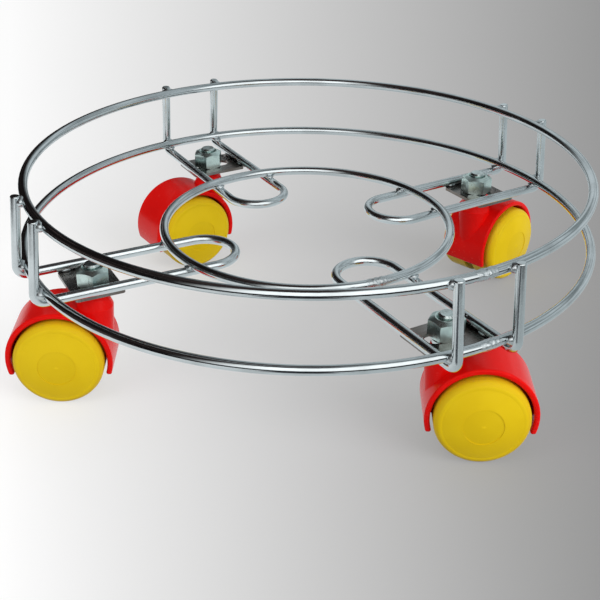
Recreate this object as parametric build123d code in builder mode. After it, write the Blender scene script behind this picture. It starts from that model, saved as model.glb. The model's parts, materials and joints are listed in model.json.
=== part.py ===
"""Gas cylinder trolley: wire hoops welded to four hairpin arms, on swivelling twin-wheel castors.

Millimetres and degrees. +Z is up, the floor is Z = 0 and the hoops share the Z axis.
The castors stand turned as a trolley stops after a push, and so do their nuts.
"""

import os
from math import hypot, sqrt

from build123d import *

# Wire hoops and arms, measured to the wire's centre line
wire_dia = 5.4
bottom_ring_dia = 330.0
top_ring_draw = 7.0
inner_ring_dia = 170.0
ring_spacing = 37.6
arm_spacing = 36.6
arm_reach = 39.0
upright_stub = 0.8
wire_end_round = 0.8
weld_gap = 0.06

# Slotted plate under each pair of arm runs
plate_inset = 31.0
plate_length = 28.0
plate_slip = 2.0
plate_setback = 2.7
plate_thickness = 2.0
plate_corner = 2.0
slot_length = 24.0
slot_play = 0.3

# Castor stem and its nut
stud_dia = 10.0
stud_proud = 2.0
stud_chamfer = 1.6
nut_width = 17.0
nut_height = 10.6
nut_crown_dia = 12.6
nut_crown_slope = 0.53
nut_sink = 0.6
thread_gap = 0.05
flange_dia = 14.0
flange_thickness = 2.0
pintle_dia = 8.0
pintle_end_gap = 0.4
swivel_fit = 0.05
swivel_gap = 0.3

# Spring ring that keeps the stem in its socket
clip_wire = 1.2
clip_seat_depth = 0.7
clip_reach = 0.6
clip_room = 0.4
clip_opening = 60.0

# Hood over the two wheels
trail = 20.0
hood_width = 32.0
hood_wall = 3.1
hood_gap = 1.5
hood_edge_round = 1.2
lip_drop = 8.8
web_thickness = 5.0
web_drop = 5.5
boss_rise = 6.5
boss_dia = 15.4
boss_land = 2.4
boss_round = 1.4
fairing_dia = 20.4
fairing_foot_dia = 17.0
fairing_drop = 2.0
socket_floor = 2.4

# Wheels and axle
wheel_dia = 50.0
tread_width = 13.5
tread_chamfer = 0.6
shoulder = 4.2
dome_rise = 3.2
dial_dia = 21.2
dial_depth = 0.3
rim_wall = 3.0
face_wall = 3.0
hub_dia = 14.0
axle_dia = 6.0
axle_fit = 0.02
wheel_fit = 0.05
wheel_side_gap = 0.5
axle_end_gap = 0.5
axle_chamfer = 0.5
catch_width = 1.2
catch_height = 0.35
catch_room = 0.4

# Corner, arm heading, share of the plate's slip outwards, share of the stud's travel along its slot,
# castor heading and turn of the nut
CORNERS = (
    ("front_right", -44.1, 1.0, 0.15, 14.0, 20.0),
    ("back_right", 47.6, 0.0, 0.42, 62.0, 6.0),
    ("back_left", 135.1, 0.0, 0.39, 229.0, 43.0),
    ("front_left", 222.7, 0.0, 0.6, 197.0, 27.0),
)

# Heights, stacked up from the floor
wheel_radius = wheel_dia / 2
axle_z = wheel_radius
hood_inside = wheel_radius + hood_gap
hood_outside = hood_inside + hood_wall
hood_top = axle_z + hood_outside
lip_z = axle_z - lip_drop
boss_top = hood_top + boss_rise
flange_z = boss_top + swivel_gap
plate_z = flange_z + flange_thickness
plate_top = plate_z + plate_thickness
run_z = plate_top + weld_gap + wire_dia / 2
ring_z = run_z + wire_dia + weld_gap
top_ring_z = ring_z + ring_spacing
upright_top = top_ring_z + wire_dia / 2 + upright_stub
stud_top = plate_top + nut_height + stud_proud

# Plan of one arm, with X outwards along the arm
wire_radius = wire_dia / 2
arm_half = arm_spacing / 2
arm_seat = wire_dia + weld_gap
bottom_ring_radius = bottom_ring_dia / 2
top_ring_radius = bottom_ring_radius - top_ring_draw / 2
plate_radius = bottom_ring_radius - plate_inset
plate_width = arm_spacing + wire_dia - 2 * plate_setback
slot_width = stud_dia + 2 * slot_play
stud_travel = (slot_length - slot_width) / 2
upright_low = sqrt((bottom_ring_radius + arm_seat) ** 2 - arm_half**2)
upright_high = sqrt((top_ring_radius + arm_seat) ** 2 - arm_half**2)
upright_lean = (upright_low - upright_high) / ring_spacing
loop_centre = inner_ring_dia / 2 - arm_reach + wire_radius + arm_half

# Castor, from the stem's axis with X towards the axle
pintle_radius = pintle_dia / 2
socket_radius = pintle_radius + swivel_fit
socket_z = axle_z + sqrt(hood_inside**2 - (trail - socket_radius) ** 2) + socket_floor
clip_z = (socket_z + boss_top) / 2
clip_inside = pintle_radius - clip_seat_depth
clip_outside = pintle_radius + clip_reach
wheel_start = web_thickness / 2 + wheel_side_gap
tread_end = wheel_start + tread_width
face_radius = wheel_radius - shoulder
face_start = tread_end + shoulder
wheel_end = face_start + dome_rise
bore_end = face_start - face_wall / 2
axle_half = bore_end - axle_end_gap
catch_y = (wheel_start + bore_end) / 2
axle_radius = axle_dia / 2
bore_radius = axle_radius + wheel_fit


def save(part, name, place=Location()):
    """Write one sub-part, moved from where it was drawn to its place on the trolley."""
    piece = part.moved(place)
    piece.label = name
    export_step(piece, f"parts/{name}.step")
    box = piece.bounding_box()
    print(f"{name}: {piece.volume / 1000:.2f} cm3, Z {box.min.Z:.1f} to {box.max.Z:.1f}")


def make_ring(radius, height):
    """One hoop of round wire."""
    with BuildPart() as ring:
        with BuildSketch(Plane.XZ):
            with Locations((radius, height)):
                Circle(wire_radius)
        revolve(axis=Axis.Z)
    return ring.part


def make_arm():
    """A hairpin: upright, run in to the loop, and back out to the other upright."""
    head = upright_high - upright_lean * (upright_top - top_ring_z)
    heel = upright_low + upright_lean * (ring_z - run_z)
    with BuildPart() as arm:
        with BuildLine() as path:
            FilletPolyline(
                (head, arm_half, upright_top),
                (heel, arm_half, run_z),
                (loop_centre, arm_half, run_z),
                radius=wire_dia,
            )
            ThreePointArc(
                (loop_centre, arm_half, run_z),
                (loop_centre - arm_half, 0, run_z),
                (loop_centre, -arm_half, run_z),
            )
            FilletPolyline(
                (loop_centre, -arm_half, run_z),
                (heel, -arm_half, run_z),
                (head, -arm_half, upright_top),
                radius=wire_dia,
            )
        with BuildSketch(Plane(origin=path.line @ 0, z_dir=path.line % 0)):
            Circle(wire_radius)
        sweep(path=path.line)
        fillet(arm.edges().sort_by(Axis.Z)[-2:], radius=wire_end_round)
    return arm.part


def make_plate():
    """The plate that the castor's stem is bolted to, slotted across the arm."""
    with BuildPart() as plate:
        with BuildSketch(Plane.XY.offset(plate_z)):
            with Locations((plate_radius, 0)):
                RectangleRounded(plate_length, plate_width, plate_corner)
                SlotOverall(slot_length, slot_width, rotation=90, mode=Mode.SUBTRACT)
        extrude(amount=plate_thickness)
    return plate.part


def make_nut():
    """Tall hexagon nut: a wide cone turned on its crown, a narrow one on its foot."""
    nut_top = plate_top + nut_height
    bore = stud_dia / 2 + thread_gap
    corner = nut_width / sqrt(3)
    foot = (corner - nut_width / 2) * nut_crown_slope
    crown = (corner - nut_crown_dia / 2) * nut_crown_slope
    with BuildPart() as nut:
        with BuildSketch(Plane.XY.offset(plate_top)):
            RegularPolygon(nut_width / 2, 6, major_radius=False)
        extrude(amount=nut_height)
        with BuildSketch(Plane.XZ):
            with BuildLine():
                Polyline(
                    (bore, plate_top),
                    (nut_width / 2, plate_top),
                    (corner, plate_top + foot),
                    (corner, nut_top - crown),
                    (nut_crown_dia / 2, nut_top),
                    (bore + nut_sink, nut_top),
                    (bore, nut_top - nut_sink),
                    close=True,
                )
            make_face()
        revolve(axis=Axis.Z, mode=Mode.INTERSECT)
    return nut.part


def make_stem():
    """Threaded stud, flange and pintle in one turned piece, grooved for the spring ring."""
    pintle_end = socket_z + pintle_end_gap
    stud_radius = stud_dia / 2
    with BuildPart() as stem:
        with BuildSketch(Plane.XZ):
            with BuildLine():
                Polyline(
                    (0, pintle_end),
                    (pintle_radius - stud_chamfer, pintle_end),
                    (pintle_radius, pintle_end + stud_chamfer),
                    (pintle_radius, clip_z - clip_wire / 2),
                    (clip_inside, clip_z - clip_wire / 2),
                    (clip_inside, clip_z + clip_wire / 2),
                    (pintle_radius, clip_z + clip_wire / 2),
                    (pintle_radius, flange_z),
                    (flange_dia / 2, flange_z),
                    (flange_dia / 2, plate_z),
                    (stud_radius, plate_z),
                    (stud_radius, stud_top - stud_chamfer),
                    (stud_radius - stud_chamfer, stud_top),
                    (0, stud_top),
                    close=True,
                )
            make_face()
        revolve(axis=Axis.Z)
    return stem.part


def make_clip():
    """Open spring ring in the stem's groove."""
    with BuildPart() as clip:
        with BuildSketch(Plane.XZ):
            with Locations(((clip_inside + clip_outside) / 2, clip_z)):
                Rectangle(clip_outside - clip_inside, clip_wire)
        revolve(axis=Axis.Z, revolution_arc=360 - clip_opening)
    return clip.part


def make_hood():
    """Moulded hood: an arch over both wheels, a web between them and a socket for the stem."""
    with BuildPart() as hood:
        with BuildSketch(Plane.XZ):
            with Locations((trail, axle_z)):
                Circle(hood_outside)
            with Locations((trail, lip_z - hood_outside)):
                Rectangle(3 * hood_outside, 2 * hood_outside, mode=Mode.SUBTRACT)
        extrude(amount=hood_width / 2, both=True)
        with BuildSketch(Plane.XZ):
            with BuildLine():
                FilletPolyline(
                    (fairing_foot_dia / 2, axle_z),
                    (fairing_dia / 2, hood_top - fairing_drop),
                    (boss_dia / 2, boss_top - boss_land),
                    (boss_dia / 2, boss_top),
                    (0, boss_top),
                    radius=boss_round,
                )
                Polyline((0, boss_top), (0, axle_z), (fairing_foot_dia / 2, axle_z))
            make_face()
        revolve(axis=Axis.Z)
        with BuildSketch(Plane.XZ):
            with Locations((trail, axle_z)):
                Circle(hood_inside)
        extrude(amount=hood_width, both=True, mode=Mode.SUBTRACT)
        sides = hood.faces().filter_by(Axis.Y).sort_by(Axis.Y)
        lips = hood.edges().filter_by(Axis.Y).group_by(Axis.Z)[0]
        fillet(sides[0].edges() + sides[-1].edges() + lips, radius=hood_edge_round)
        with BuildSketch(Plane.XZ):
            with Locations((trail, axle_z)):
                Circle(hood_inside + hood_wall / 2)
            with Locations((trail, axle_z - web_drop - hood_outside)):
                Rectangle(3 * hood_outside, 2 * hood_outside, mode=Mode.SUBTRACT)
            with Locations((trail, axle_z)):
                Circle(axle_radius + axle_fit, mode=Mode.SUBTRACT)
        extrude(amount=web_thickness / 2, both=True)
        with BuildSketch(Plane.XY.offset(boss_top)):
            Circle(socket_radius)
        extrude(amount=socket_z - boss_top, mode=Mode.SUBTRACT)
        with BuildSketch(Plane.XY.offset(clip_z)):
            Circle(clip_outside + clip_room)
        extrude(amount=clip_wire / 2 + clip_room, both=True, mode=Mode.SUBTRACT)
    return hood.part


def make_axle():
    """Pin through the hood's web, with a groove near each end for the wheel's catch."""
    groove = axle_radius - catch_height
    groove_half = catch_width / 2 + catch_room
    with BuildPart() as axle:
        with BuildSketch(Plane.XY):
            with BuildLine():
                Polyline(
                    (0, 0),
                    (axle_radius, 0),
                    (axle_radius, catch_y - groove_half),
                    (groove - wheel_fit, catch_y - groove_half),
                    (groove - wheel_fit, catch_y + groove_half),
                    (axle_radius, catch_y + groove_half),
                    (axle_radius, axle_half - axle_chamfer),
                    (axle_radius - axle_chamfer, axle_half),
                    (0, axle_half),
                    close=True,
                )
            make_face()
            mirror(about=Plane.XZ)
        revolve(axis=Axis.Y)
    return axle.part


def dome_height(radius):
    """Height of the wheel's domed face along the axle, at one radius."""
    ball = (face_radius**2 + dome_rise**2) / (2 * dome_rise)
    return wheel_end - ball + sqrt(ball**2 - radius**2)


def make_wheel():
    """Hollow wheel with a rounded shoulder and a domed face, which hides the axle's end."""
    dial = dial_dia / 2
    with BuildPart() as wheel:
        with BuildSketch(Plane.XY):
            with BuildLine():
                Polyline(
                    (0, wheel_start),
                    (wheel_radius - tread_chamfer, wheel_start),
                    (wheel_radius, wheel_start + tread_chamfer),
                    (wheel_radius, tread_end),
                )
                RadiusArc((wheel_radius, tread_end), (face_radius, face_start), -shoulder)
                ThreePointArc(
                    (face_radius, face_start),
                    (face_radius / 2, dome_height(face_radius / 2)),
                    (0, wheel_end),
                )
                Line((0, wheel_end), (0, wheel_start))
            make_face()
        revolve(axis=Axis.Y)
        with BuildSketch(Plane.XY):
            with BuildLine():
                ThreePointArc(
                    (0, wheel_end - dial_depth),
                    (dial / 2, dome_height(dial / 2) - dial_depth),
                    (dial, dome_height(dial) - dial_depth),
                )
                Polyline(
                    (dial, dome_height(dial) - dial_depth),
                    (dial, wheel_end + dial_depth),
                    (0, wheel_end + dial_depth),
                    (0, wheel_end - dial_depth),
                )
            make_face()
            with BuildLine():
                Polyline(
                    (0, wheel_start),
                    (bore_radius, wheel_start),
                    (bore_radius, catch_y - catch_width / 2),
                    (bore_radius - catch_height, catch_y - catch_width / 2),
                    (bore_radius - catch_height, catch_y + catch_width / 2),
                    (bore_radius, catch_y + catch_width / 2),
                    (bore_radius, bore_end),
                    (0, bore_end),
                    close=True,
                )
            make_face()
            with BuildLine():
                Polyline(
                    (hub_dia / 2, wheel_start),
                    (wheel_radius - rim_wall, wheel_start),
                    (wheel_radius - rim_wall, tread_end - face_wall / 2),
                    (face_radius - rim_wall, face_start - face_wall),
                    (hub_dia / 2, face_start - face_wall),
                    close=True,
                )
            make_face()
        revolve(axis=Axis.Y, mode=Mode.SUBTRACT)
    return wheel.part


os.makedirs("parts", exist_ok=True)
save(make_ring(bottom_ring_radius, ring_z), "bottom_ring")
save(make_ring(top_ring_radius, top_ring_z), "top_ring")
save(make_ring(inner_ring_dia / 2, ring_z), "inner_ring")

arm = make_arm()
plate = make_plate()
nut = make_nut()
stem = make_stem()
clip = make_clip()
hood = make_hood()
axle = make_axle()
wheel = make_wheel()

for corner, arm_heading, slip_share, travel_share, castor_heading, nut_turn in CORNERS:
    along = Location((0, 0, 0), (0, 0, arm_heading))
    seat = along * Location((slip_share * plate_slip, 0, 0))
    save(arm, f"arm_{corner}", along)
    save(plate, f"plate_{corner}", seat)
    stud = (seat * Location((plate_radius, travel_share * stud_travel, 0))).position
    print(f"stud_{corner}: X {stud.X:.3f} Y {stud.Y:.3f}, {hypot(stud.X, stud.Y):.2f} from the axis")
    save(nut, f"nut_{corner}", Location(stud, (0, 0, nut_turn)))
    castor = Location(stud, (0, 0, castor_heading))
    save(stem, f"stem_{corner}", castor)
    save(clip, f"stem_clip_{corner}", castor)
    save(hood, f"hood_{corner}", castor)
    hub = castor * Location((trail, 0, axle_z))
    save(axle, f"axle_{corner}", hub)
    save(wheel, f"wheel_left_{corner}", hub)
    save(wheel, f"wheel_right_{corner}", hub * Location((0, 0, 0), (0, 0, 180)))
    print(f"hub_{corner}: {hub.position.X:.3f} {hub.position.Y:.3f} {hub.position.Z:.3f}")
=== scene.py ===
# %% [markdown]
# # Dressing a gas cylinder trolley
#
# The trolley is a low round frame of chromed wire. A gas cylinder stands on it, inside two hoops,
# and it rolls on castors with a red hood and two yellow wheels each. The solids of every piece
# come from a CAD model, so this lesson makes what the solids leave out: the finishes, the welds,
# the threads, the light and the camera. The first step loads the solids.

# %% Load the frame
import json
from math import asin, atan2, cos, inf, pi, radians, sin, tau
from random import Random

import bmesh
import bpy
from mathutils import Matrix, Quaternion, Vector, noise


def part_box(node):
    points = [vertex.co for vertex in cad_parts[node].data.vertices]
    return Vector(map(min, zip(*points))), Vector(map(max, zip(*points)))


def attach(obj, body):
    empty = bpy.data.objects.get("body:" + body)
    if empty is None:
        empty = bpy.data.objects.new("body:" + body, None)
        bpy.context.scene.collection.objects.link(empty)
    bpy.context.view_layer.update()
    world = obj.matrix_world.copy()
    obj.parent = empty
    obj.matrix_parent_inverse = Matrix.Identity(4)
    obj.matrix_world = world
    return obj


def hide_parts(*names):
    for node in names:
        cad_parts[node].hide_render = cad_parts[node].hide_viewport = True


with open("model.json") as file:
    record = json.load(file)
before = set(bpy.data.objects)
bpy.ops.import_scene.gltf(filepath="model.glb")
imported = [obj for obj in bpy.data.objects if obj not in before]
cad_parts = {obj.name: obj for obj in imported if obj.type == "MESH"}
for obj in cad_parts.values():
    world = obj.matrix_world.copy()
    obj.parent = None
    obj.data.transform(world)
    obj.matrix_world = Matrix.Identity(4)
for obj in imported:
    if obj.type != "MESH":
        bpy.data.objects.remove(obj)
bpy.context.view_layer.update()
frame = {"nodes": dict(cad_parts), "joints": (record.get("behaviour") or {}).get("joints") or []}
nodes = frame["nodes"]
CORNERS = ("front_right", "back_right", "back_left", "front_left")

# %% [markdown]
# ## Places that the other steps need
#
# A joint knows where it turns. Each swivel joint stands on a castor's stem and each rolling joint
# on its axle, so the stems, hubs and headings are read from the joints, and nothing has to be
# measured twice. The middle of a plate's box gives the direction that its arm points in.

# %% Read the places from the joints and boxes
joints = {joint["name"]: joint for joint in frame["joints"]}
stem_at, hub_at, castor_heading, arm_heading = {}, {}, {}, {}
for corner in CORNERS:
    stem_at[corner] = Vector(joints["swivel_" + corner]["pos_m"])
    hub_at[corner] = Vector(joints["roll_left_" + corner]["pos_m"])
    reach = hub_at[corner] - stem_at[corner]
    castor_heading[corner] = atan2(reach.y, reach.x)
    low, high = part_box("plate_" + corner)
    middle = (low + high) / 2
    arm_heading[corner] = atan2(middle.y, middle.x)
    print(corner, "castor", round(castor_heading[corner], 3), "arm", round(arm_heading[corner], 3))

# %% [markdown]
# ## The camera
#
# The photograph looks down on the trolley from close by, with the camera about a third of a metre
# above the floor. The camera was found by fitting the hoops of the CAD model to the ellipses in
# the picture. Its place is counted from the floor under the middle of the hoops, and the
# picture's left and right are turned a little from the model's own axes.

# %% Place the camera
VIEW_TURN = radians(15)
FOCAL_PIXELS = 1060.9
IMAGE_PIXELS = 600
CAMERA_AT = Vector((0, -0.5799, 0.3351))
LOOK_AT = Vector((-0.0039, 0, 0.0212))
CAMERA_ROLL = 0.01034

turn = Matrix.Rotation(VIEW_TURN, 3, "Z")
camera_data = bpy.data.cameras.new("camera")
camera_data.lens = camera_data.sensor_width * FOCAL_PIXELS / IMAGE_PIXELS
camera = bpy.data.objects.new("camera", camera_data)
bpy.context.scene.collection.objects.link(camera)
aim = (turn @ (LOOK_AT - CAMERA_AT)).to_track_quat("-Z", "Y")
camera.rotation_mode = "QUATERNION"
camera.rotation_quaternion = aim @ Quaternion((0, 0, 1), CAMERA_ROLL)
camera.location = turn @ CAMERA_AT
bpy.context.scene.camera = camera
print("lens", round(camera_data.lens, 2), "mm, camera at", camera.location)

# %% [markdown]
# ## Writing shaders as sums
#
# A finish is a tree of nodes, but most of it is arithmetic. A small class wraps one socket and
# gives it the usual operators, so that a line such as `0.1 + 0.2 * grain` adds the Math nodes by
# itself.


# %% Arithmetic on a socket
class Field:
    """One output socket of a finish, with arithmetic."""

    def __init__(self, finish, socket):
        self.finish, self.socket = finish, socket

    def apply(self, operation, first, second=0.0):
        inputs = {0: first, 1: second}
        return self.finish.node("ShaderNodeMath", {"operation": operation}, inputs)

    def __add__(self, other):
        return self.apply("ADD", self, other)

    def __sub__(self, other):
        return self.apply("SUBTRACT", self, other)

    def __rsub__(self, other):
        return self.apply("SUBTRACT", other, self)

    def __mul__(self, other):
        return self.apply("MULTIPLY", self, other)

    def __truediv__(self, other):
        return self.apply("DIVIDE", self, other)

    def __pow__(self, other):
        return self.apply("POWER", self, other)

    def __neg__(self):
        return self.apply("MULTIPLY", self, -1.0)

    __radd__, __rmul__ = __add__, __mul__

    def sine(self):
        return self.apply("SINE", self)

    def root(self):
        return self.apply("SQRT", self)

    def size(self):
        return self.apply("ABSOLUTE", self)

    def clip(self, low, high):
        return self.apply("MINIMUM", self.apply("MAXIMUM", self, low), high)

    def step(self, low, high):
        """0 up to low, 1 from high, and smooth between them."""
        settings = {"interpolation_type": "SMOOTHSTEP"}
        inputs = {"Value": self, "From Min": low, "From Max": high}
        return self.finish.node("ShaderNodeMapRange", settings, inputs)


# %% [markdown]
# A finish holds the tree itself. One method makes every other node: it takes the node's type, its
# settings and what goes into its sockets. The rest are short names for the nodes that come up
# often.


# %% A finish and its nodes
class Finish:
    """A material or a world, and the one method that adds its nodes."""

    def __init__(self, name, tree=None):
        if tree is None:
            self.material = bpy.data.materials.new(name)
            self.material.use_nodes = True
            tree = self.material.node_tree
        self.tree = tree
        self.tree.nodes.clear()

    def node(self, kind, settings=None, inputs=None, out=0):
        made = self.tree.nodes.new(kind)
        for key, value in (settings or {}).items():
            setattr(made, key, value)
        for key, value in (inputs or {}).items():
            if isinstance(value, Field):
                self.tree.links.new(value.socket, made.inputs[key])
            else:
                made.inputs[key].default_value = value
        return Field(self, made.outputs[out]) if made.outputs else None

    def spot(self, centre=(0, 0, 0), heading=0.0):
        """Object coordinates counted from a centre and turned to a heading."""
        raw = self.node("ShaderNodeTexCoord", out="Object")
        inputs = {"Vector": raw, "Location": centre, "Rotation": (0, 0, heading)}
        return self.node("ShaderNodeMapping", {"vector_type": "TEXTURE"}, inputs)

    def stretch(self, vector, scale):
        """The same coordinates with each axis scaled."""
        return self.node("ShaderNodeMapping", {}, {"Vector": vector, "Scale": scale})

    def parts(self, vector):
        """The three numbers of a vector."""
        split = self.node("ShaderNodeSeparateXYZ", {}, {"Vector": vector})
        return [Field(self, socket) for socket in split.socket.node.outputs]

    def grain(self, vector, scale, detail=3.0):
        """Cloudy noise from 0 to 1, with scale clouds to the metre."""
        inputs = {"Vector": vector, "Scale": scale, "Detail": detail}
        return self.node("ShaderNodeTexNoise", {}, inputs)

    def colour(self, value):
        return value if isinstance(value, Field) else (*value, 1)

    def grey(self, value):
        """A colour from one number."""
        inputs = {"Red": value, "Green": value, "Blue": value}
        return self.node("ShaderNodeCombineColor", {}, inputs)

    def mix(self, share, first, second):
        """A colour between two colours."""
        settings = {"data_type": "RGBA", "clamp_factor": True}
        inputs = {0: share, 6: self.colour(first), 7: self.colour(second)}
        return self.node("ShaderNodeMix", settings, inputs, out=2)

    def bump(self, height, distance, strength):
        inputs = {"Height": height, "Distance": distance, "Strength": strength}
        return self.node("ShaderNodeBump", {}, inputs)

    def shade(self, **sockets):
        """Ends the finish with a Principled shader, with socket names in words and underscores."""
        inputs = {}
        for key, value in sockets.items():
            name = key.replace("_", " ").title().replace("Ior", "IOR")
            inputs[name] = self.colour(value) if isinstance(value, tuple) else value
        surface = self.node("ShaderNodeBsdfPrincipled", {}, inputs)
        self.node("ShaderNodeOutputMaterial", {}, {"Surface": surface})
        return self


# %% [markdown]
# Two helpers serve every later step: one makes an object from a finished bmesh, and the other
# gives a finish to solids or to new pieces.


# %% Objects and their finish
def mesh_object(name, shape, smooth=False):
    """A finished bmesh as an object in the scene."""
    mesh = bpy.data.meshes.new(name)
    shape.to_mesh(mesh)
    shape.free()
    if smooth:
        mesh.shade_smooth()
    made = bpy.data.objects.new(name, mesh)
    bpy.context.scene.collection.objects.link(made)
    return made


def dress(finish, *names):
    """Gives a finish to CAD nodes or to new pieces."""
    for name in names:
        mesh = (nodes.get(name) or bpy.data.objects[name]).data
        mesh.materials.clear()
        mesh.materials.append(finish.material)
    print(finish.material.name, "on", len(names), "pieces")


# %% [markdown]
# ## The studio floor
#
# The picture stands before a plain ground that fades from white at the left to a mid grey at the
# right. A backdrop picture could do that, but a floor with the fade in its own colour also takes
# the shadows. It is one large face, laid a hair below the wheels.

# %% Lay the floor
FLOOR_HALF = 9.0
FLOOR_DROP = 0.0001

floor_shape = bmesh.new()
bmesh.ops.create_grid(floor_shape, x_segments=1, y_segments=1, size=FLOOR_HALF)
bmesh.ops.translate(floor_shape, verts=floor_shape.verts, vec=(0, 0, -FLOOR_DROP))
floor = mesh_object("floor", floor_shape)
print(floor.name, floor.dimensions)

# %% [markdown]
# Upright lines of the image meet the floor in a fan of lines, so the fade follows the slope of
# that fan. Nearer than the picture's lower edge the fan opens again, and the floor looks even
# from behind too. Most of the tone is a glow for the rays that see the floor: it throws no
# light on the trolley, and it keeps the shadows pale. Far from the trolley the floor only glows,
# in the tone of the world, so there is no horizon.

# %% Paint the floor
FAN_TURN = 0.235
FAN_NEAREST = 0.5261
FAN_SLOPE = 0.8796
FADE_LEFT = 0.992
FADE_RIGHT = 0.59
FADE_FAR = 0.8935
FAR_START, FAR_END = 1.1, 2.6
SCREEN_GAMMA = 2.2
MOTTLE, MOTTLE_SCALE = 0.01, 3.0
FLOOR_LIT = 0.36
FLOOR_GLOW = 0.66


def seen_rays(finish):
    """1 for the rays of the camera, of mirrors and of glass, and 0 for light on other things."""
    camera_ray = finish.node("ShaderNodeLightPath", out="Is Camera Ray")
    kinds = camera_ray.socket.node.outputs
    mirrored = Field(finish, kinds["Is Glossy Ray"])
    return (camera_ray + mirrored + Field(finish, kinds["Is Transmission Ray"])).clip(0.0, 1.0)


ground = Finish("studio_floor")
across, away, _ = ground.parts(ground.spot(heading=VIEW_TURN))
slope = across / (((away + FAN_TURN).size() + FAN_NEAREST) * FAN_SLOPE)
share = (slope * (FOCAL_PIXELS / IMAGE_PIXELS) + 0.5).clip(0.0, 1.0)
fade = FADE_LEFT - share * (FADE_LEFT - FADE_RIGHT)
far = (across * across + away * away).root().step(FAR_START, FAR_END)
tone = (fade + far * (FADE_FAR - fade)) ** SCREEN_GAMMA
tone = tone + MOTTLE * (ground.grain(ground.spot(), MOTTLE_SCALE) - 0.5)
ground.shade(
    base_color=ground.grey(FLOOR_LIT * (1 - far) * tone),
    roughness=0.9,
    specular_ior_level=0.0,
    emission_color=ground.grey((FLOOR_GLOW + FLOOR_LIT * far) * tone * seen_rays(ground)),
    emission_strength=1.0,
)
dress(ground, "floor")

# %% [markdown]
# ## Light for chrome
#
# Chrome has no look of its own: it shows what stands round it. A wire that mirrors only white
# paper melts into the background, so a studio puts cards beside the set. Here a pale world and
# three soft lamps light the colours, and cards that only reflections see draw the lines along
# each wire. The lamps are large, so shadows stay soft, and they are hidden from the reflections,
# which belong to the cards.

# %% Hang the lamps
LAMP_SIZE = 2.4
LAMP_HEIGHT = 1.4
LAMP_DISTANCE = 3.2
LAMP_AIM = Vector((0, 0, 0.05))


def soft_lamp(name, watts, bearing):
    """A square lamp that faces the trolley, with its bearing counted from the picture's right."""
    lamp = bpy.data.lights.new(name, "AREA")
    lamp.size, lamp.energy = LAMP_SIZE, watts
    made = bpy.data.objects.new(name, lamp)
    angle = bearing + VIEW_TURN
    made.location = (LAMP_DISTANCE * cos(angle), LAMP_DISTANCE * sin(angle), LAMP_HEIGHT)
    made.rotation_euler = (LAMP_AIM - made.location).to_track_quat("-Z", "Y").to_euler()
    made.visible_glossy = False
    bpy.context.scene.collection.objects.link(made)
    print(name, "at", made.location)


soft_lamp("right_lamp", 102.0, radians(-36))
soft_lamp("left_lamp", 47.0, radians(-145))
soft_lamp("back_lamp", 26.0, radians(100))

# %% [markdown]
# The world fills the shadows from all sides. The rays that see it get a paler tone than the light
# it gives, which is what the far floor fades into.

# %% Light the world
WORLD_FILL = 0.5
WORLD_SEEN = 0.8

world = bpy.data.worlds.new("studio")
bpy.context.scene.world = world
world.use_nodes = True
sky = Finish("studio", world.node_tree)
strength = WORLD_FILL + seen_rays(sky) * (WORLD_SEEN - WORLD_FILL)
sky_light = sky.node("ShaderNodeBackground", {}, {"Color": (1, 1, 1, 1), "Strength": strength})
sky.node("ShaderNodeOutputWorld", {}, {"Surface": sky_light})
print("world", world.name, "fills with", WORLD_FILL, "and shows", WORLD_SEEN)

# %% [markdown]
# The cards make a drum round the set, with a wall, a lid and a board on the floor. Only
# reflections see them, so they throw neither light nor shadow.

# %% Set up the cards
CARD_RADIUS = 0.5
CARD_LOW, CARD_HIGH = 0.002, 0.95
CARD_SIDES = 96

card_shape = bmesh.new()
bmesh.ops.create_cone(
    card_shape,
    segments=CARD_SIDES,
    radius1=CARD_RADIUS,
    radius2=CARD_RADIUS,
    depth=CARD_HIGH - CARD_LOW,
    matrix=Matrix.Translation((0, 0, (CARD_HIGH + CARD_LOW) / 2)),
)
for height in (CARD_LOW, CARD_HIGH):
    bmesh.ops.create_circle(
        card_shape,
        cap_ends=True,
        segments=CARD_SIDES,
        radius=CARD_RADIUS,
        matrix=Matrix.Translation((0, 0, height)),
    )
cards = mesh_object("cards", card_shape)
cards.visible_camera = False
cards.visible_diffuse = False
cards.visible_transmission = False
cards.visible_shadow = False
print(cards.name, cards.dimensions)

# %% [markdown]
# A bright screen stands on the camera's side, which is the white line along the front of the
# hoops. The wall goes from black at the left to pale at the right, with uneven streaks for the
# lines along a wire, and that is why wires that run down to the right are dark in the photograph
# and the others are light. The lid is dark over the left and the middle, which keeps the top edge
# of each wire dark. The pale board lights the underside of the wires, and a dark strip on it
# draws the line below the white.

# %% Colours of the cards
CARD_DARK, CARD_GLINT = (0.010, 0.008, 0.008), (0.13, 0.095, 0.09)
CARD_PALE, CARD_STREAK = (0.66, 0.72, 0.745), (0.26, 0.30, 0.31)
SCREEN_WHITE = (1.6, 1.62, 1.62)
LID_DARK = (0.045, 0.033, 0.032)
BOARD_LEFT, BOARD_RIGHT = (0.90, 0.93, 0.94), (0.54, 0.595, 0.61)
BOARD_DARK = (0.05, 0.055, 0.065)
CARD_SKIN = 0.001
PALE_EDGE, LID_EDGE, BOARD_EDGE = (-0.5, 0.0), (0.1, 0.6), (-0.5, 0.4)
FRONT_EDGE, SCREEN_EDGE, GAP_EDGE = (0.0, 0.9), (0.45, 0.75), (0.3, 0.7)
FRONT_PULL = 0.2
SCREEN_LOW, SCREEN_BLUR, GAP_BLUR = 0.14, 0.03, 0.02
STRIP_LEFT, STRIP_RIGHT, STRIP_BLUR = -0.085, 0.04, 0.03
STRIP_NEAR, STRIP_NEAREST = 0.23, 0.27

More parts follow.
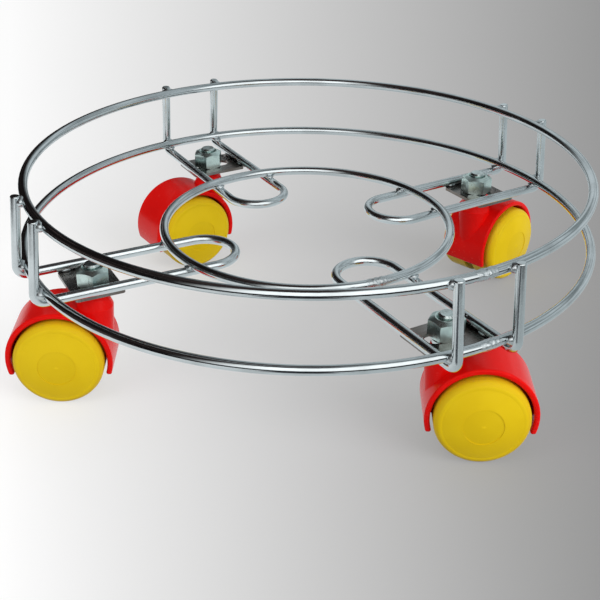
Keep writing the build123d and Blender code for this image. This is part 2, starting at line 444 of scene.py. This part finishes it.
card = Finish("card")
card_spot = card.spot(heading=VIEW_TURN)
across, away, up = card.parts(card_spot)
aside = across / CARD_RADIUS
front = (-away / CARD_RADIUS).step(*FRONT_EDGE)
streaks = card.grain(card.stretch(card_spot, (0.25, 0.25, 1.0)), scale=9.0, detail=3.0)
lines = card.grain(card.stretch(card_spot, (0.12, 0.12, 1.0)), scale=26.0, detail=2.0)
dark_wall = card.mix(lines.step(0.58, 0.7), CARD_DARK, CARD_GLINT)
pale_wall = card.mix(streaks.step(0.42, 0.6), CARD_PALE, CARD_STREAK)
screen = front.step(*SCREEN_EDGE) * up.step(SCREEN_LOW, SCREEN_LOW + SCREEN_BLUR)
pale_wall = card.mix(screen, pale_wall, SCREEN_WHITE)
gap = front.step(*GAP_EDGE) * (1 - up.step(SCREEN_LOW - GAP_BLUR, SCREEN_LOW))
pale = (aside + FRONT_PULL * front).step(*PALE_EDGE) * (1 - gap)
colour = card.mix(pale, dark_wall, pale_wall)
lid = up.step(CARD_HIGH - 2 * CARD_SKIN, CARD_HIGH - CARD_SKIN) * (1 - aside.step(*LID_EDGE))
colour = card.mix(lid, colour, LID_DARK)
board = card.mix(aside.step(*BOARD_EDGE), BOARD_LEFT, BOARD_RIGHT)
strip = (across - STRIP_LEFT).step(0.0, STRIP_BLUR)
strip = strip * (1 - (across - STRIP_RIGHT).step(0.0, STRIP_BLUR))
board = card.mix(strip * (-away).step(STRIP_NEAR, STRIP_NEAREST), board, BOARD_DARK)
on_floor = 1 - up.step(CARD_LOW + CARD_SKIN / 2, CARD_LOW + CARD_SKIN)
card.shade(
    base_color=(0.0, 0.0, 0.0),
    specular_ior_level=0.0,
    emission_color=card.mix(on_floor, colour, board),
    emission_strength=1.0,
)
dress(card, "cards")

# %% [markdown]
# ## Chromed wire
#
# Bright chrome on drawn wire is a clean mirror with small faults: the plating waves a little,
# dulls in cloudy patches and carries fine rubs along the wire. The waves go into a shallow bump,
# because they bend the lines of the reflections, and the patches into the roughness.


# %% The chrome of the hoops and arms
def chrome_finish(name, polish, bright, dull):
    """Plated wire, whose polish is its lowest roughness."""
    finish = Finish(name)
    spot = finish.spot()
    clouds = finish.grain(spot, scale=55.0, detail=4.0)
    rubs = finish.grain(finish.stretch(spot, (1.0, 1.0, 6.0)), scale=420.0, detail=2.0)
    waves = finish.grain(spot, scale=45.0, detail=2.0)
    pits = finish.grain(spot, scale=1500.0, detail=1.0).step(0.7, 0.8)
    return finish.shade(
        base_color=finish.mix(clouds.step(0.35, 0.75), bright, dull),
        metallic=1.0,
        roughness=polish + 0.09 * clouds + 0.05 * rubs + 0.15 * pits,
        normal=finish.bump(waves + 0.01 * rubs, distance=0.0005, strength=0.2),
    )


hoop_chrome = chrome_finish("chromed_hoop", 0.05, (0.62, 0.66, 0.675), (0.50, 0.53, 0.54))
arm_chrome = chrome_finish("chromed_arm", 0.12, (0.66, 0.705, 0.72), (0.55, 0.585, 0.595))
dress(hoop_chrome, "bottom_ring", "top_ring", "inner_ring")
dress(arm_chrome, *["arm_" + corner for corner in CORNERS])

# %% [markdown]
# ## Plates
#
# The plates were cut from strip and plated with the frame, so they are the same metal with a
# duller, darker face and with rolling lines along the strip. The lines turn with the plate, which
# needs a copy of the finish for each corner.

# %% The finish of the plates
PLATE_CLEAN, PLATE_STAINED = (0.25, 0.235, 0.225), (0.16, 0.132, 0.115)


def plate_finish(corner):
    """Dull chrome with rolling lines across the arm."""
    finish = Finish("plated_strip_" + corner)
    spot = finish.spot(heading=arm_heading[corner])
    lines = finish.grain(finish.stretch(spot, (1.0, 0.06, 1.0)), scale=900.0, detail=3.0)
    stains = finish.grain(spot, scale=70.0, detail=4.0)
    return finish.shade(
        base_color=finish.mix(stains.step(0.4, 0.75), PLATE_CLEAN, PLATE_STAINED),
        metallic=1.0,
        roughness=0.16 + 0.1 * lines + 0.12 * stains,
        normal=finish.bump(lines, distance=0.00008, strength=0.5),
    )


for corner in CORNERS:
    dress(plate_finish(corner), "plate_" + corner)

# %% [markdown]
# ## Nuts and pins
#
# The nuts and studs are zinc: greenish, finely brushed and softer in their reflections than the
# chrome. The brush runs up and down, so one finish serves every corner.


# %% The zinc of the nuts and pins
def zinc_finish(name, clean, worn, polish):
    """Zinc plate brushed up and down, with dull spots."""
    finish = Finish(name)
    spot = finish.spot()
    brush = finish.grain(finish.stretch(spot, (1.0, 1.0, 0.08)), scale=2600.0, detail=2.0)
    clouds = finish.grain(spot, scale=240.0, detail=3.0)
    return finish.shade(
        base_color=finish.mix(clouds.step(0.4, 0.72), clean, worn),
        metallic=1.0,
        roughness=polish + 0.1 * brush + 0.1 * clouds,
        normal=finish.bump(brush + 0.5 * clouds, distance=0.00006, strength=0.15),
    )


nut_zinc = zinc_finish("nut_zinc", (0.68, 0.82, 0.78), (0.54, 0.65, 0.62), 0.19)
stud_zinc = zinc_finish("stud_zinc", (0.62, 0.70, 0.69), (0.46, 0.51, 0.50), 0.15)
dress(nut_zinc, *["nut_" + corner for corner in CORNERS])
dress(stud_zinc, *[kind + corner for kind in ("stem_clip_", "axle_") for corner in CORNERS])

# %% [markdown]
# ## Threaded studs
#
# A nut needs a thread to hold on to, and the end of the stud shows a turn of it above the nut.
# The solid has a plain stud, so a lathe makes a new stem with grooves: a profile of a few points
# is spun round the axis. A true screw would need one more step, but over so few turns rings look
# the same.

# %% The profile of a stem
PINTLE_R, FLANGE_R, STUD_R = 0.004, 0.007, 0.005
FLANGE_THICKNESS = 0.002
STUD_CHAMFER = 0.0012
END_LIP = 0.2
THREAD_PITCH, THREAD_DEPTH = 0.0015, 0.00055
CREST_START, CREST_END = 0.4, 0.55


def stem_profile(foot, flange_low, flange_high, top):
    """Radius and height up the stem, from the pintle's end to the stud's end."""
    points = [(0, foot), (PINTLE_R - STUD_CHAMFER, foot), (PINTLE_R, foot + STUD_CHAMFER)]
    points += [(PINTLE_R, flange_low), (FLANGE_R, flange_low), (FLANGE_R, flange_high)]
    root = STUD_R - THREAD_DEPTH
    height = flange_high
    points.append((root, height))
    while height + THREAD_PITCH < top - STUD_CHAMFER:
        points.append((STUD_R, height + CREST_START * THREAD_PITCH))
        points.append((STUD_R, height + CREST_END * THREAD_PITCH))
        height += THREAD_PITCH
        points.append((root, height))
    points.append((STUD_R - END_LIP * STUD_CHAMFER, top - (1 - END_LIP) * STUD_CHAMFER))
    points += [(STUD_R - STUD_CHAMFER, top), (0, top)]
    return points


print("thread of", THREAD_PITCH, "m to the turn,", THREAD_DEPTH, "m deep")

# %% [markdown]
# A new piece has its doubles merged and its faces turned outwards before it becomes an object. It
# then rides on a body and gets its finish.

# %% Turn the stems
STEM_STEPS = 64
MERGE_DISTANCE = 1e-6


def new_piece(name, shape, body, finish, smooth=False):
    """A finished bmesh as an object that rides on a body."""
    bmesh.ops.remove_doubles(shape, verts=shape.verts, dist=MERGE_DISTANCE)
    bmesh.ops.recalc_face_normals(shape, faces=shape.faces)
    made = mesh_object(name, shape, smooth)
    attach(made, body)
    dress(finish, name)
    return made


for corner in CORNERS:
    foot, top = (v.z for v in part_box("stem_" + corner))
    flange_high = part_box("plate_" + corner)[0].z
    profile = stem_profile(foot, flange_high - FLANGE_THICKNESS, flange_high, top)
    lathe = bmesh.new()
    rail = [lathe.verts.new((radius, 0, height)) for radius, height in profile]
    edges = [lathe.edges.new(pair) for pair in zip(rail, rail[1:])]
    bmesh.ops.spin(
        lathe,
        geom=rail + edges,
        cent=(0, 0, 0),
        axis=(0, 0, 1),
        angle=tau,
        steps=STEM_STEPS,
        use_merge=True,
    )
    axis = stem_at[corner]
    bmesh.ops.translate(lathe, verts=lathe.verts, vec=(axis.x, axis.y, 0))
    stem = new_piece("threaded_stem_" + corner, lathe, "frame", stud_zinc)
    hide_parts("stem_" + corner)

# %% [markdown]
# A nut stops where its thread is tight, so no two stand alike. Three of the solids stand as in
# the photograph. There the front left one shows a corner and its solid shows a flat, so a copy of
# the solid is turned by half a flat.

# %% Turn the front left nut
NUT_TURN = radians(30)

nut_shape = bmesh.new()
nut_shape.from_mesh(nodes["nut_front_left"].data)
nut_turn = Matrix.Rotation(NUT_TURN, 3, "Z")
bmesh.ops.rotate(
    nut_shape, verts=nut_shape.verts, cent=stem_at["front_left"], matrix=nut_turn
)
turned_nut = new_piece("turned_nut_front_left", nut_shape, "frame", nut_zinc)
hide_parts("nut_front_left")

# %% [markdown]
# ## Red hoods
#
# The hoods are moulded in a glossy red plastic. Its skin is not a perfect mirror: it has the
# faint ripple of the mould, a slightly uneven red and fine scuffs where it is knocked, low on the
# lips. The pattern is laid out from each castor's own stem, so all four look alike whichever way
# they are turned.

# %% The hoods' plastic
HOOD_RED, HOOD_BRIGHT = (0.72, 0.004, 0.003), (0.80, 0.006, 0.004)
HOOD_SCUFFED = (0.78, 0.12, 0.10)
LIP_LOW, LIP_HIGH = 0.018, 0.03
WORN_ALL, WORN_LIP = 0.12, 0.5


def hood_finish(corner):
    """Glossy moulding, scuffed most on the lips."""
    finish = Finish("red_hood_" + corner)
    stem = stem_at[corner]
    spot = finish.spot((stem.x, stem.y, 0), castor_heading[corner])
    height = finish.parts(spot)[2]
    ripple = finish.grain(spot, scale=190.0, detail=2.0)
    skin = finish.grain(spot, scale=2200.0, detail=2.0)
    clouds = finish.grain(spot, scale=38.0, detail=3.0)
    scuffs = finish.grain(finish.stretch(spot, (0.25, 1.0, 1.0)), scale=700.0, detail=3.0)
    on_lip = 1 - height.step(LIP_LOW, LIP_HIGH)
    worn = scuffs.step(0.62, 0.74) * (WORN_ALL + WORN_LIP * on_lip)
    colour = finish.mix(clouds.step(0.3, 0.7), HOOD_RED, HOOD_BRIGHT)
    return finish.shade(
        base_color=finish.mix(worn, colour, HOOD_SCUFFED),
        roughness=0.2 + 0.08 * clouds + 0.25 * worn,
        specular_ior_level=0.1,
        normal=finish.bump(ripple + 0.05 * skin, distance=0.0004, strength=0.2),
    )


for corner in CORNERS:
    dress(hood_finish(corner), "hood_" + corner)

# %% [markdown]
# ## Yellow wheels
#
# The wheels are a harder plastic with a satin face. A turned mould leaves faint rings on the
# face, the dial in the middle is a shade deeper, and the tread picks up grey dirt from the floor.
# The shoulder round the face carries a painted shade, deeper and more orange, which stands for the
# hood's shadow on the top of the tread and goes all the way round. All of it follows the wheel's
# radius, which is measured from its own axle, so each wheel again has its own copy of the finish.

# %% The wheels' plastic
WHEEL_DEEP, WHEEL_PALE = (0.72, 0.495, 0.005), (0.76, 0.535, 0.007)
# The rim tone is a painted shade: it stands for the hood's shadow on the tread.
RIM_PAINTED_SHADE, DIAL_TONE = (0.69, 0.44, 0.004), (0.60, 0.42, 0.005)
DIRT_TONE = (0.36, 0.25, 0.06)
RIM_SHADE_SHARE, DIAL_SHARE = 0.6, 0.2
DIRT_FILM, DIRT_GRIT = 0.06, 0.3
RING_START, RING_FULL = 0.002, 0.005
RING_TURNS = 9000.0
DIAL_EDGE = (0.0101, 0.0106)
SHADED_RIM_EDGE = (0.0226, 0.0231)
TREAD_EDGE = (0.0246, 0.0249)


def wheel_finish(corner, side):
    """Satin moulding with rings round the axle and a dirty tread."""
    finish = Finish("yellow_wheel_" + side + "_" + corner)
    spot = finish.spot(tuple(hub_at[corner]), castor_heading[corner])
    along, _, up = finish.parts(spot)
    radius = (along * along + up * up).root()
    rings = (radius * RING_TURNS).sine() * radius.step(RING_START, RING_FULL) * 0.5 + 0.5
    skin = finish.grain(spot, scale=2600.0, detail=2.0)
    clouds = finish.grain(spot, scale=45.0, detail=3.0)
    grit = finish.grain(finish.stretch(spot, (1.0, 0.3, 1.0)), scale=600.0, detail=4.0)
    dirt = radius.step(*TREAD_EDGE) * (DIRT_FILM + DIRT_GRIT * grit.step(0.5, 0.75))
    colour = finish.mix(clouds.step(0.3, 0.7), WHEEL_DEEP, WHEEL_PALE)
    # Painted shade: the shoulder and tread are darkened all round, for the hood's shadow on the
    # tread.
    colour = finish.mix(RIM_SHADE_SHARE * radius.step(*SHADED_RIM_EDGE), colour, RIM_PAINTED_SHADE)
    colour = finish.mix(DIAL_SHARE * (1 - radius.step(*DIAL_EDGE)), colour, DIAL_TONE)
    return finish.shade(
        base_color=finish.mix(dirt, colour, DIRT_TONE),
        roughness=0.38 + 0.1 * clouds + 0.25 * dirt,
        specular_ior_level=0.15,
        normal=finish.bump(0.1 * rings + 0.3 * skin + clouds, distance=0.00012, strength=0.3),
    )


for corner in CORNERS:
    for side in ("left", "right"):
        dress(wheel_finish(corner, side), f"wheel_{side}_{corner}")

# %% [markdown]
# ## Welds
#
# Every crossing of two wires is welded, and the plating covers the small beads. Their places
# follow from the hoops' radii and the arms' headings, and the hoops' boxes give the radii.

# %% Where the wires cross
ARM_HALF = 0.0183
WELD_GAP = 0.00006


def hoop(name):
    """Radius of a hoop to the wire's middle, its height, and the wire's radius."""
    low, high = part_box(name)
    wire = (high.z - low.z) / 2
    return (high.x - low.x) / 2 - wire, (high.z + low.z) / 2, wire


def at_angle(radius, angle, height):
    return Vector((radius * cos(angle), radius * sin(angle), height))


bottom_radius, ring_height, wire_radius = hoop("bottom_ring")
top_radius, top_height, _ = hoop("top_ring")
inner_radius = hoop("inner_ring")[0]
print("hoops", round(bottom_radius, 5), round(top_radius, 5), round(inner_radius, 5))

# %% [markdown]
# A bead is a lump that fills the corner between two rods, so it is a ball, flattened along the
# line that joins the rods and roughened by a fixed noise. The beads beside the uprights' tops
# stay just below the wire's ends, so that the trolley grows no taller.

# %% Make the beads
BEAD_ROUGH = 0.13
BEAD_GRAIN = 330.0
UPRIGHT_BEAD = (0.0031, 0.0043, 0.0031)
SEAT_BEAD = (0.0031, 0.0031, 0.0014)
BELOW_WIRE_END = 0.0003
weld_chrome = chrome_finish("chromed_weld", 0.28, (0.62, 0.665, 0.68), (0.50, 0.53, 0.54))


def add_bead(shape, centre, angle, radii, ceiling=inf):
    """One lump, with its radii along the hoop's radius, along the hoop and upwards."""
    turned = Matrix.Translation(centre) @ Matrix.Rotation(angle, 4, "Z")
    place = turned @ Matrix.Diagonal((*radii, 1))
    made = bmesh.ops.create_icosphere(shape, subdivisions=3, radius=1, matrix=place)
    for vert in made["verts"]:
        swell = 1 + BEAD_ROUGH * noise.noise(vert.co * BEAD_GRAIN)
        vert.co = centre + (vert.co - centre) * swell
        vert.co.z = min(vert.co.z, ceiling)


wire_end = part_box("arm_front_right")[1].z - BELOW_WIRE_END
upright_beads, seat_beads = bmesh.new(), bmesh.new()
for corner in CORNERS:
    for side in (-1, 1):
        for radius, height in ((top_radius, top_height), (bottom_radius, ring_height)):
            upright_reach = radius + 2 * wire_radius + WELD_GAP
            angle = arm_heading[corner] + side * asin(ARM_HALF / upright_reach)
            centre = at_angle(radius + wire_radius, angle, height)
            add_bead(upright_beads, centre, angle, UPRIGHT_BEAD, wire_end)
        for radius in (bottom_radius, inner_radius):
            angle = arm_heading[corner] + side * asin(ARM_HALF / radius)
            centre = at_angle(radius, angle, ring_height - wire_radius)
            add_bead(seat_beads, centre, angle, SEAT_BEAD)
for name, shape in (("upright_welds", upright_beads), ("seat_welds", seat_beads)):
    piece = new_piece(name, shape, "frame", weld_chrome, smooth=True)
    print(name, len(piece.data.polygons), "faces")

# %% [markdown]
# The plates hang under the arms by short seams along the inner side of each run, at the two ends
# of the plate. They are the same lumps, drawn out along the arm.

# %% Make the seams on the plates
PLATE_HALF = 0.014
SEAM_INSET = 0.005
SEAM_SIDE = ARM_HALF - 0.0016
SEAM_LIFT = 0.0009
SEAM_BEAD = (0.0028, 0.0011, 0.0010)

plate_beads = bmesh.new()
for corner in CORNERS:
    heading = arm_heading[corner]
    low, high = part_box("plate_" + corner)
    middle = (low + high) / 2
    turned = Matrix.Rotation(heading, 3, "Z")
    for side in (-1, 1):
        for end in (-1, 1):
            offset = Vector((end * (PLATE_HALF - SEAM_INSET), side * SEAM_SIDE, 0))
            centre = Vector((middle.x, middle.y, high.z + SEAM_LIFT)) + turned @ offset
            add_bead(plate_beads, centre, heading, SEAM_BEAD)
seams = new_piece("plate_welds", plate_beads, "frame", weld_chrome, smooth=True)
print(seams.name, len(seams.data.polygons), "faces")

# %% [markdown]
# Welding also throws small drops, which freeze on the wire and are plated with it. They are tiny
# balls set half into the runs beside the plates, scattered by a fixed seed so that every render
# has the same ones.

# %% Scatter the drops
DROPS_PER_RUN = 5
DROP_SPREAD = 0.03
DROP_INNER, DROP_OUTER = -0.2, pi * 0.7
DROP_SMALL, DROP_LARGE = 0.0002, 0.0004
DROP_SEED = 11

drop_shape = bmesh.new()
dice = Random(DROP_SEED)
run_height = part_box("arm_front_right")[0].z + wire_radius
for corner in CORNERS:
    low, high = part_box("plate_" + corner)
    reach = ((low + high) / 2).xy.length
    turned = Matrix.Rotation(arm_heading[corner], 3, "Z")
    for side in (-1, 1):
        for _ in range(DROPS_PER_RUN):
            around = dice.uniform(DROP_INNER, DROP_OUTER)
            out, rise = wire_radius * cos(around), wire_radius * sin(around)
            along = reach + dice.uniform(-DROP_SPREAD, DROP_SPREAD)
            spot = turned @ Vector((along, side * (ARM_HALF - out), run_height + rise))
            size = dice.uniform(DROP_SMALL, DROP_LARGE)
            place = Matrix.Translation(spot)
            bmesh.ops.create_icosphere(drop_shape, subdivisions=2, radius=size, matrix=place)
drops = new_piece("weld_drops", drop_shape, "frame", weld_chrome, smooth=True)
print(drops.name, len(drops.data.polygons), "faces")

# %% [markdown]
# ## Joints in the hoops
#
# A hoop is a length of wire whose ends are butted and welded, and the joint stays a little thick
# and rough. A short sleeve of circles is spun along the hoop and its points are moved out by the
# same noise, most in the middle and not at all at the ends.

# %% Make the joints
JOINT_HALF = 0.0065
JOINT_SWELL = 0.00035
JOINT_SINK = 2e-5
JOINT_STEPS = 40
LUMP_BASE, LUMP_SHARE, CRUMB_SHARE = 0.55, 0.9, 0.5
LUMP_GRAIN, CRUMB_GRAIN = 700.0, 1900.0
BOTTOM_SHIFT, INNER_SHIFT = radians(1.5), radians(5)
EDGE_SLACK = 1.001


def add_joint(shape, radius, height, angle):
    """A lumpy sleeve round a hoop, at an angle round it."""
    reach = JOINT_HALF / radius
    start = Matrix.Translation((radius, 0, height)) @ Matrix.Rotation(pi / 2, 4, "X")
    made = bmesh.ops.create_circle(shape, segments=JOINT_STEPS, radius=wire_radius, matrix=start)
    circle = made["verts"]
    first = Matrix.Rotation(angle - reach, 3, "Z")
    bmesh.ops.rotate(shape, verts=circle, cent=(0, 0, 0), matrix=first)
    edges = list({edge for vert in circle for edge in vert.link_edges})
    bmesh.ops.spin(
        shape,
        geom=circle + edges,
        cent=(0, 0, 0),
        axis=(0, 0, 1),
        angle=2 * reach,
        steps=JOINT_STEPS,
        use_merge=False,
    )
    bmesh.ops.holes_fill(shape, edges=[edge for edge in shape.edges if edge.is_boundary])
    for vert in shape.verts:
        bearing = atan2(vert.co.y, vert.co.x)
        middle = at_angle(radius, bearing, height)
        share = (bearing - angle) / reach
        if abs(share) < EDGE_SLACK and (vert.co - middle).length < 2 * wire_radius:
            fade = max(0.0, 1 - share * share)
            lump = LUMP_BASE + LUMP_SHARE * noise.noise(vert.co * LUMP_GRAIN)
            lump += CRUMB_SHARE * noise.noise(vert.co * CRUMB_GRAIN)
            swollen = wire_radius - JOINT_SINK + JOINT_SWELL * fade * lump
            vert.co = middle + (vert.co - middle).normalized() * swollen


joint_shape = bmesh.new()
joint_bearing = arm_heading["front_right"]
add_joint(joint_shape, bottom_radius, ring_height, joint_bearing + BOTTOM_SHIFT)
add_joint(joint_shape, top_radius, top_height, joint_bearing)
add_joint(joint_shape, inner_radius, ring_height, joint_bearing - INNER_SHIFT)
piece = new_piece("hoop_joints", joint_shape, "frame", weld_chrome, smooth=True)
print(piece.name, len(piece.data.polygons), "faces")

# %% [markdown]
# ## Finish
#
# The view transform is the plain one, so that colours come out as they are written.

# %% Finish the view
bpy.context.scene.view_settings.view_transform = "Standard"
